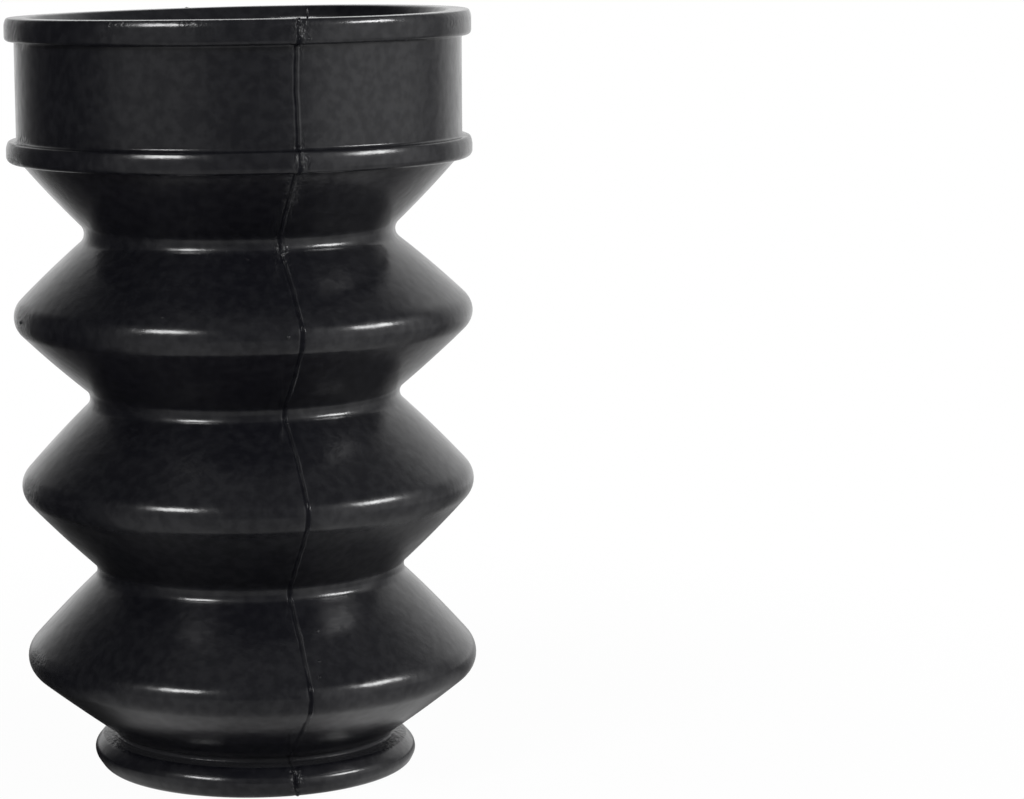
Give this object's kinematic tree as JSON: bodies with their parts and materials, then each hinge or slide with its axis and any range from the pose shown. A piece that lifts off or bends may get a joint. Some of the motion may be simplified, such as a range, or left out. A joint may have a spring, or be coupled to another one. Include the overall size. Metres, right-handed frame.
{
  "type": "fork gaiter",
  "caption": "Black rubber bellows gaiter for a motorcycle fork: a stepped collar, rounded folds and a rolled lip at the narrow end.",
  "frame": {"origin": "centre of the lip's foot, on the axis of the bore, at the lowest face", "axes": "+Z along the bore axis, from the narrow lip up to the wide collar; X and Y are free, with the parting line shown by the picture 15 degrees from -Y towards +X"},
  "size_m": [0.0732, 0.0732, 0.1203],
  "materials": {
    "black_rubber": "satin moulded rubber with a soft sheen, faint mottling and a raised parting line"
  },
  "bodies": {
    "root": {"gaiter_body": "black_rubber"}
  },
  "joints": []
}
